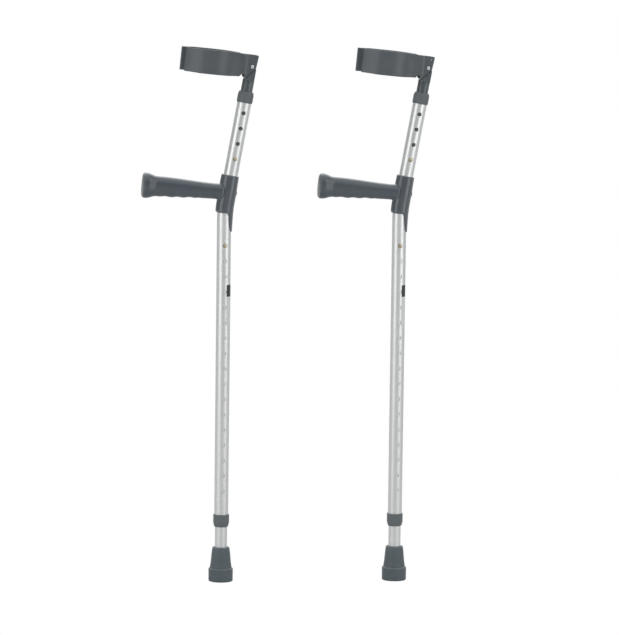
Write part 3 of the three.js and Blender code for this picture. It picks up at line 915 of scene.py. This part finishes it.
def stem_mesh():
    """Shank, block and tongue in one, with holes for the rivet and the snap button."""
    step = STEM_STEP - pivot_height
    shank = turned("shank", rounded([
        (6.4, 72 - pivot_height, 0.3), (STEM_RADIUS, 72 - pivot_height, 0.8),
        (STEM_RADIUS, step + 2), (0, step + 2), (0, 150 - pivot_height), (6.4, 150 - pivot_height, 1.0),
    ]), 80)
    stop = STOP_DISTANCE + 0.7
    slope = math.tan(STOP_SLOPE)
    start = -stop / math.cos(STOP_SLOPE)
    shoulder = rounded([
        (-HEAD_HALF_WIDTH, step, 1.0), (HEAD_HALF_WIDTH, step, 1.0),
        (HEAD_HALF_WIDTH, start + slope * HEAD_HALF_WIDTH, 0.9),
        (-HEAD_HALF_WIDTH, start - slope * HEAD_HALF_WIDTH, 0.9),
    ], 3)
    block = plate("block", shoulder, -HEAD_HALF_DEPTH, HEAD_HALF_DEPTH, 0.4)
    tongue_outline = [(-HEAD_HALF_WIDTH, step + 1), (HEAD_HALF_WIDTH, step + 1)]
    for i in range(25):
        turn = math.pi * i / 24
        tongue_outline.append((HEAD_HALF_WIDTH * math.cos(turn), HEAD_HALF_WIDTH * math.sin(turn)))
    tongue = plate("tongue", tongue_outline, -8.3, 8.3, 0.7)
    swept = combined("block", [block, pin_cutter(STOP_DISTANCE + 1.0)], "DIFFERENCE")
    stem = combined("cuff_plug", [shank, swept, tongue])
    button_hole = pin_cutter(HOLE_RADIUS, 0, FOREARM_HOLES[0] - pivot_height, -14, -2)
    return combined("cuff_plug", [stem, pin_cutter(2.8), button_hole], "DIFFERENCE")


stem = stem_mesh()
stem.transform(forearm_frame @ Matrix.Translation((0, 0, pivot_height * MM)))
stem_plastic = moulded_material(
    "stem_plastic", (0.074, 0.088, 0.099), (0.13, 0.14, 0.15),
    grain_size=0.3, depth=0.06, gloss=0.24, worn_gloss=0.38, coat=0.3)
fit_pair("cuff_stem", "cuff_plug", stem, stem_plastic, "stem")

# ---------------------------------------------------------------------------
# Arm cuffs. One grey moulding: a band that opens at the front, widens a little
# upwards like a forearm, and closes at the back into two ears for the rivet.
# ---------------------------------------------------------------------------

CUFF_TILT = math.radians(5.4)
BAND_LOW = -17.2
BAND_HIGH = 21.4
EAR_HIGH = 19.6
BAND_THICK = 2.8
WIDEST = -67.4
HALF_WIDTH = 49.0
EAR_INNER = 8.7
TO_TIP = [(46.0, -35), (120.0, -46)]
TO_BACK = [(46.0, 40), (50.0, 90)]
cuff_frame = Matrix.Translation(pivot * MM) @ Matrix.Rotation(CUFF_TILT, 4, "Y")


def band_line(bends):
    """One side of the band's plan, from its widest place along arcs of (radius, end angle)."""
    line = [(Vector((WIDEST, HALF_WIDTH)), 0.0)]
    turned_to = 0
    for radius, end in bends:
        steps = max(abs(end - turned_to), 8)
        for i in range(1, steps + 1):
            middle = math.radians(turned_to + (end - turned_to) * (i - 0.5) / steps)
            length = radius * math.radians(abs(end - turned_to)) / steps
            onward = Vector((math.cos(middle) * math.copysign(1, end), -math.sin(abs(middle))))
            angle = math.radians(turned_to + (end - turned_to) * i / steps)
            line.append((line[-1][0] + onward * length, angle))
        turned_to = end
    return line


def ribbon(name, stations, thick):
    """A strip on edge. A station is its outer plan point, way out, low, high, flare and slant."""
    rim = 1.15
    end_round = 1.1
    steps = 4
    middle = (BAND_LOW + BAND_HIGH) / 2
    points = []
    tips = [math.pi / 2 * i / 4 for i in range(1, 5)]
    first, last = stations[0], stations[-1]

    def section(station, inset, onwards):
        place, out, low, high, taper, slant = station
        turns = [((0, -1), (-1, 0)), ((-1, 0), (0, 1)), ((0, 1), (1, 0)), ((1, 0), (0, -1))]
        corners = [(rim, low + rim), (rim, high - rim), (thick - rim, high - rim), (thick - rim, low + rim)]
        loop = []
        for centre, (begin, end) in zip(corners, turns):
            for step in range(steps + 1):
                turn = math.pi / 2 * step / steps
                u = centre[0] + (rim - inset) * (begin[0] * math.cos(turn) + end[0] * math.sin(turn))
                v = centre[1] + (rim - inset) * (begin[1] * math.cos(turn) + end[1] * math.sin(turn))
                spot = place + out * (taper * (v - middle) - u) + onwards
                spot.x += slant * (v - middle)
                loop.append((spot.x, spot.y, v))
        return loop

    back = (first[0] - stations[1][0]).normalized()
    onward = (last[0] - stations[-2][0]).normalized()
    loops = []
    for turn in reversed(tips):
        loops.append(section(first, end_round * (1 - math.cos(turn)), back * end_round * math.sin(turn)))
    for station in stations:
        loops.append(section(station, 0.0, Vector((0, 0))))
    for turn in tips:
        loops.append(section(last, end_round * (1 - math.cos(turn)), onward * end_round * math.sin(turn)))
    count = len(loops[0])
    for loop in loops:
        points += loop
    faces = [list(range(count)), [(len(loops) - 1) * count + i for i in range(count)]]
    for row in range(len(loops) - 1):
        for i in range(count):
            j = (i + 1) % count
            after = (row + 1) * count
            faces.append([row * count + i, row * count + j, after + j, after + i])
    return solid_mesh(name, points, faces)


def flare(angle):
    """How much the band leans outwards, going round from its widest place."""
    return 0.055 * (1 - smoothstep(math.radians(40), math.radians(80), angle))


def fullness(angle):
    """1 along the band's sides, and 0 at its tips and its back, where it is a little lower."""
    tip = math.radians(-TO_TIP[-1][1])
    behind = 1 - smoothstep(math.radians(20), math.radians(80), angle)
    return behind * (1 - smoothstep(0.6 * tip, tip, -angle))


def band_mesh():
    """The open band, from one tip round the back to the other."""
    half = [*reversed(band_line(TO_TIP)), *band_line(TO_BACK)[1:]]
    stations = []
    for place, angle in half:
        out = Vector((math.sin(angle), math.cos(angle)))
        slant = 0.045 * smoothstep(math.radians(25), math.radians(46), -angle)
        low = BAND_LOW + 0.6 - 0.9 * fullness(angle)
        high = BAND_HIGH - 0.3 + 0.6 * fullness(angle)
        stations.append((place, out, low, high, flare(angle), slant))
    mirror = []
    for place, out, low, high, taper, slant in reversed(stations[:-1]):
        mirror.append((Vector((place.x, -place.y)), Vector((out.x, -out.y)), low, high, taper, slant))
    return ribbon("band", stations + mirror, BAND_THICK)


def gusset_mesh(side):
    """The wall that leaves the band and runs smoothly into an ear."""
    leave = math.radians(52)
    stations = []
    for place, angle in band_line(TO_BACK):
        if math.radians(38) < angle < leave:
            out = Vector((math.sin(angle), math.cos(angle)))
            sink = 0.02 + 0.1 * (leave - angle) / math.radians(14)
            stations.append((place - out * sink, out, flare(angle)))
    start, out, taper = stations[-1]
    onward = Vector((out.y, -out.x))
    middle = start + onward * (start.y - HEAD_HALF_DEPTH) / -onward.y
    end = Vector((-6.0, HEAD_HALF_DEPTH))
    for i in range(1, 19):
        t = i / 18
        place = start * (1 - t) ** 2 + middle * 2 * t * (1 - t) + end * t * t
        ahead = ((middle - start) * (1 - t) + (end - middle) * t).normalized()
        stations.append((place, Vector((-ahead.y, ahead.x)), taper * (1 - t)))
    built = []
    for place, out, lean_out in stations:
        bottom = BAND_LOW + 0.22 + 3.6 * smoothstep(-20.5, -16.0, place.x)
        top = BAND_HIGH - 0.06 + (EAR_HIGH - BAND_HIGH) * smoothstep(-30.0, -12.0, place.x)
        place = Vector((place.x, place.y * side))
        out = Vector((out.x, out.y * side))
        built.append((place, out, bottom, top, lean_out, 0.0))
    return ribbon("gusset", built, 2.6)


def ear_mesh(side):
    """One ear: its lower rear edge lies along the stem's sloping stop."""
    slope = STOP_SLOPE + CUFF_TILT - lean

    def stop_z(x):
        return (math.sin(slope) * x - STOP_DISTANCE) / math.cos(slope)

    outline = rounded([
        (-13.5, -12.8, 1.2), (-11.9, -13.6, 1.2), (-11.2, -17.2, 1.5), (-8.8, stop_z(-8.8), 1.0),
        (6.5, stop_z(6.5), 1.0), (9.3, EAR_HIGH - 0.4, 2.2), (-13.5, EAR_HIGH, 1.0),
    ], 3)
    faces = sorted((side * EAR_INNER, side * HEAD_HALF_DEPTH))
    return plate("ear", outline, faces[0], faces[1], 0.4)


cuff = combined("open_cuff", [band_mesh(), gusset_mesh(1), gusset_mesh(-1), ear_mesh(1), ear_mesh(-1)])
cuff = combined("open_cuff", [cuff, pin_cutter(2.8), pin_cutter(1.5, 3.6, 14.6, -16, -6)], "DIFFERENCE")
cuff.transform(cuff_frame)
cuff_plastic = moulded_material(
    "cuff_plastic", (0.082, 0.094, 0.104), (0.14, 0.15, 0.16),
    grain_size=0.3, depth=0.06, gloss=0.33, worn_gloss=0.45)
fit_pair("arm_cuff", "open_cuff", cuff, cuff_plastic, "cuff")

# ---------------------------------------------------------------------------
# Cuff rivets. A plated steel pin goes through both ears and the tongue: a
# domed head on the near ear, and a set head on a washer at the far ear.
# ---------------------------------------------------------------------------

across_cuff = cuff_frame @ Matrix.Rotation(math.pi / 2, 4, "X")
pin = turned("cuff_pin", rounded([
    (0, -14.1), (1.6, -14.1, 0.5), (2.9, -13.3, 0.4), (3.2, -13.05), (2.45, -13.05), (2.45, 12.22),
    (3.3, 12.22, 0.15), (3.3, 12.7, 0.2), (2.7, 13.7, 0.8), (1.5, 14.3, 0.9), (0, 14.4),
]), 56)
pin.transform(across_cuff)
fit_pair("cuff_rivet", "cuff_pin", pin, rivet_steel, "cuff")
washer = turned("pin_washer", rounded([
    (2.5, -13.05, 0.1), (5.2, -13.05, 0.25), (5.2, -12.22, 0.25), (2.5, -12.22, 0.1),
]), 56)
washer.transform(across_cuff)
fit_pair("cuff_washer", "pin_washer", washer, rivet_steel, "cuff")

# ---------------------------------------------------------------------------
# Snap buttons and their clips. A bent steel strip inside each sliding piece
# pushes a brass button out through a hole of the main tube. Pressed in, the
# button lets the leg or the cuff's stem slide to another hole.
# ---------------------------------------------------------------------------

BUTTON_TOP = 13.6
BUTTON_RADIUS = 2.95
CLIP_THICK = 0.8

snap_brass = plain_metal(
    "snap_brass", (0.52, 0.45, 0.29), (0.78, 0.71, 0.54), gloss=0.2, drift=0.12, wear=0.8)
spring_steel = plain_metal("spring_steel", (0.33, 0.34, 0.36), (0.5, 0.5, 0.52), gloss=0.35, drift=0.2)
towards_front = Matrix.Rotation(math.pi / 2, 4, "X")


def button_mesh(name, base):
    """A button with a softly domed end, pointing out of its hole."""
    mesh = turned(name, rounded([
        (0, base), (BUTTON_RADIUS, base, 0.2), (BUTTON_RADIUS, BUTTON_TOP - 1.3, 0.5),
        (2.35, BUTTON_TOP - 0.45, 0.8), (1.1, BUTTON_TOP, 1.0), (0, BUTTON_TOP),
    ]), 48)
    mesh.transform(towards_front)
    return mesh


def clip_mesh(name, reach, width):
    """A strip bent into a U about X, with the button's place at height 0."""
    inner = reach - CLIP_THICK
    top = 26.0
    outer_line = [(-reach, -8.0)]
    inner_line = [(-inner, -8.0)]
    for i in range(33):
        turn = math.pi - math.pi * i / 32
        outer_line.append((reach * math.cos(turn), top + reach * math.sin(turn)))
        inner_line.append((inner * math.cos(turn), top + inner * math.sin(turn)))
    outer_line.append((reach, 2.0))
    inner_line.append((inner, 2.0))
    outline = outer_line + inner_line[::-1]
    shape = bmesh.new()
    sides = []
    for x in (-width / 2, width / 2):
        sides.append([shape.verts.new((x * MM, y * MM, z * MM)) for y, z in outline])
    count = len(outer_line)
    total = len(outline)
    for i in range(count - 1):
        for verts in sides:
            shape.faces.new([verts[i], verts[i + 1], verts[total - 2 - i], verts[total - 1 - i]])
    for i in range(total):
        j = (i + 1) % total
        shape.faces.new([sides[0][i], sides[0][j], sides[1][j], sides[1][i]])
    bmesh.ops.recalc_face_normals(shape, faces=shape.faces)
    mesh = bpy.data.meshes.new(name)
    shape.to_mesh(mesh)
    shape.free()
    return mesh


def fit_clips(node, name, reach, width, place):
    """One fixed clip on each crutch, placed at its button, in place of its plain solid."""
    for side, foot in feet.items():
        mesh = clip_mesh(f"{side}_{name}", reach, width)
        mesh.shade_smooth()
        mesh.set_sharp_from_angle(angle=math.radians(38))
        mark_edges(mesh)
        mesh.materials.append(spring_steel)
        mesh.transform(Matrix.Translation(foot) @ place)
        clip = bpy.data.objects.new(f"{side}_{name}", mesh)
        bpy.context.scene.collection.objects.link(clip)
        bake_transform(clip)
        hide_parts(f"{side}_{node}")


leg_button_place = Matrix.Translation((0, 0, LEG_HOLES[-1] * MM))
stem_button_place = forearm_frame @ Matrix.Translation((0, 0, FOREARM_HOLES[0] * MM))
leg_button = button_mesh("leg_catch", 7.3)
leg_button.transform(leg_button_place)
fit_pair("leg_button", "leg_catch", leg_button, snap_brass, "leg_snap")
stem_button = button_mesh("stem_catch", 5.0)
stem_button.transform(stem_button_place)
fit_pair("stem_button", "stem_catch", stem_button, snap_brass, "stem_snap")
fit_clips("leg_clip", "leg_strip", 7.2, 8.0, leg_button_place)
fit_clips("stem_clip", "stem_strip", 4.9, 6.4, stem_button_place)

# ---------------------------------------------------------------------------
# The studio. Two tall soft lights in front, a bright sky, and a long lens a
# little above the crutches. The pale floor gives light back, and the camera
# sees through it, so a leg let out below it stays in view.
# ---------------------------------------------------------------------------

AZIMUTH = math.radians(10.675)
DISTANCE = 5.785
EYE_HEIGHT = 1.0826
EYE_ASIDE = 0.1397
TILT = math.radians(6.403)
ROLL = math.radians(0.708)
LENS = 209.4

scene = bpy.context.scene
centre = (feet["left"] + feet["right"]) / 2
ahead = Vector((math.sin(AZIMUTH), math.cos(AZIMUTH), 0))
aside = Vector((math.cos(AZIMUTH), -math.sin(AZIMUTH), 0))
up = Vector((0, 0, 1))
eye = feet["left"] + aside * EYE_ASIDE - ahead * DISTANCE + up * EYE_HEIGHT
sight = ahead * math.cos(TILT) - up * math.sin(TILT)
over = ahead * math.sin(TILT) + up * math.cos(TILT)
camera_right = aside * math.cos(ROLL) + over * math.sin(ROLL)
camera_up = -aside * math.sin(ROLL) + over * math.cos(ROLL)
camera = bpy.data.objects.new("camera", bpy.data.cameras.new("camera"))
camera.data.sensor_fit = "HORIZONTAL"
camera.data.sensor_width = 36.0
camera.data.lens = LENS
camera.data.clip_end = 100.0
camera.matrix_world = Matrix((
    (camera_right.x, camera_up.x, -sight.x, eye.x),
    (camera_right.y, camera_up.y, -sight.y, eye.y),
    (camera_right.z, camera_up.z, -sight.z, eye.z),
    (0, 0, 0, 1),
))
scene.collection.objects.link(camera)
scene.camera = camera
scene.view_settings.view_transform = "Standard"
scene.view_settings.look = "None"


def softbox(name, bearing, distance, height, width, tall, power):
    """A tall soft light that faces the crutches from a bearing off the camera's line."""
    away = -ahead * math.cos(bearing) + aside * math.sin(bearing)
    place = centre + away * distance + up * height
    light = bpy.data.lights.new(name, "AREA")
    light.shape = "RECTANGLE"
    light.size = width
    light.size_y = tall
    light.energy = power
    lamp = bpy.data.objects.new(name, light)
    aim = centre + up * 0.45 - place
    lamp.rotation_euler = aim.to_track_quat("-Z", "Y").to_euler()
    lamp.location = place
    scene.collection.objects.link(lamp)


softbox("left_softbox", math.radians(-51), 2.6, 1.15, 1.5, 2.3, 15)
softbox("right_softbox", math.radians(53), 2.6, 1.15, 1.5, 2.3, 15)

world = bpy.data.worlds.new("studio")
scene.world = world
world.use_nodes = True
sky = world.node_tree
sky.nodes.clear()
sky_out = add(sky, "ShaderNodeOutputWorld")
seen = add(sky, "ShaderNodeBackground", {"Color": (1, 1, 1, 1), "Strength": 1.0})
lit = add(sky, "ShaderNodeBackground", {"Strength": 1.0})
choose = add(sky, "ShaderNodeMixShader")
rays = add(sky, "ShaderNodeLightPath")
direction = add(sky, "ShaderNodeTexCoord")
height_of = add(sky, "ShaderNodeSeparateXYZ")
overhead = add(sky, "ShaderNodeMapRange", {"From Min": 0.25, "From Max": 0.85, "To Max": 1.1})
behind = add(sky, "ShaderNodeVectorMath", operation="DOT_PRODUCT")
behind.inputs[1].default_value = ahead
backdrop = add(sky, "ShaderNodeMapRange", {"From Min": 0.2, "From Max": 0.85, "To Max": 1.1})
above = add(sky, "ShaderNodeMapRange", {"From Min": 0.03, "From Max": 0.3})
wall = add(sky, "ShaderNodeMath", operation="MULTIPLY")
room = add(sky, "ShaderNodeMath", {1: 0.25}, operation="ADD")
total = add(sky, "ShaderNodeMath", operation="ADD")
sky.links.new(direction.outputs["Generated"], height_of.inputs[0])
sky.links.new(height_of.outputs["Z"], overhead.inputs["Value"])
sky.links.new(direction.outputs["Generated"], behind.inputs[0])
sky.links.new(behind.outputs["Value"], backdrop.inputs["Value"])
sky.links.new(overhead.outputs["Result"], total.inputs[0])
sky.links.new(height_of.outputs["Z"], above.inputs["Value"])
sky.links.new(backdrop.outputs["Result"], wall.inputs[0])
sky.links.new(above.outputs["Result"], wall.inputs[1])
sky.links.new(wall.outputs[0], room.inputs[0])
sky.links.new(room.outputs[0], total.inputs[1])
sky.links.new(total.outputs[0], lit.inputs["Color"])
sky.links.new(rays.outputs["Is Camera Ray"], choose.inputs["Fac"])
sky.links.new(lit.outputs[0], choose.inputs[1])
sky.links.new(seen.outputs[0], choose.inputs[2])
sky.links.new(choose.outputs[0], sky_out.inputs["Surface"])

FLOOR_REACH = 30.0
floor_mesh = bpy.data.meshes.new("floor")
floor_mesh.from_pydata(
    [(-FLOOR_REACH, -FLOOR_REACH, 0), (FLOOR_REACH, -FLOOR_REACH, 0),
     (FLOOR_REACH, FLOOR_REACH, 0), (-FLOOR_REACH, FLOOR_REACH, 0)], [], [(0, 1, 2, 3)])
floor = bpy.data.objects.new("floor", floor_mesh)
floor.location = (centre.x, centre.y, centre.z - 0.0002)
scene.collection.objects.link(floor)
floor.visible_camera = False
floor.visible_shadow = False
floor_paint, floor_tree, floor_shader = new_material("floor_paint", {"Roughness": 0.9})
floor_rays = add(floor_tree, "ShaderNodeLightPath")
floor_tone = add(floor_tree, "ShaderNodeMix", data_type="RGBA")
floor_tone.inputs["A"].default_value = (0.5, 0.5, 0.5, 1)
floor_tone.inputs["B"].default_value = (0.9, 0.9, 0.9, 1)
floor_glow = add(floor_tree, "ShaderNodeMath", {1: 0.7}, operation="MULTIPLY")
floor_shader.inputs["Emission Color"].default_value = (1, 1, 1, 1)
floor_tree.links.new(floor_rays.outputs["Is Camera Ray"], floor_tone.inputs["Factor"])
floor_tree.links.new(floor_rays.outputs["Is Camera Ray"], floor_glow.inputs[0])
floor_tree.links.new(floor_tone.outputs["Result"], floor_shader.inputs["Base Color"])
floor_tree.links.new(floor_glow.outputs[0], floor_shader.inputs["Emission Strength"])
floor_mesh.materials.append(floor_paint)
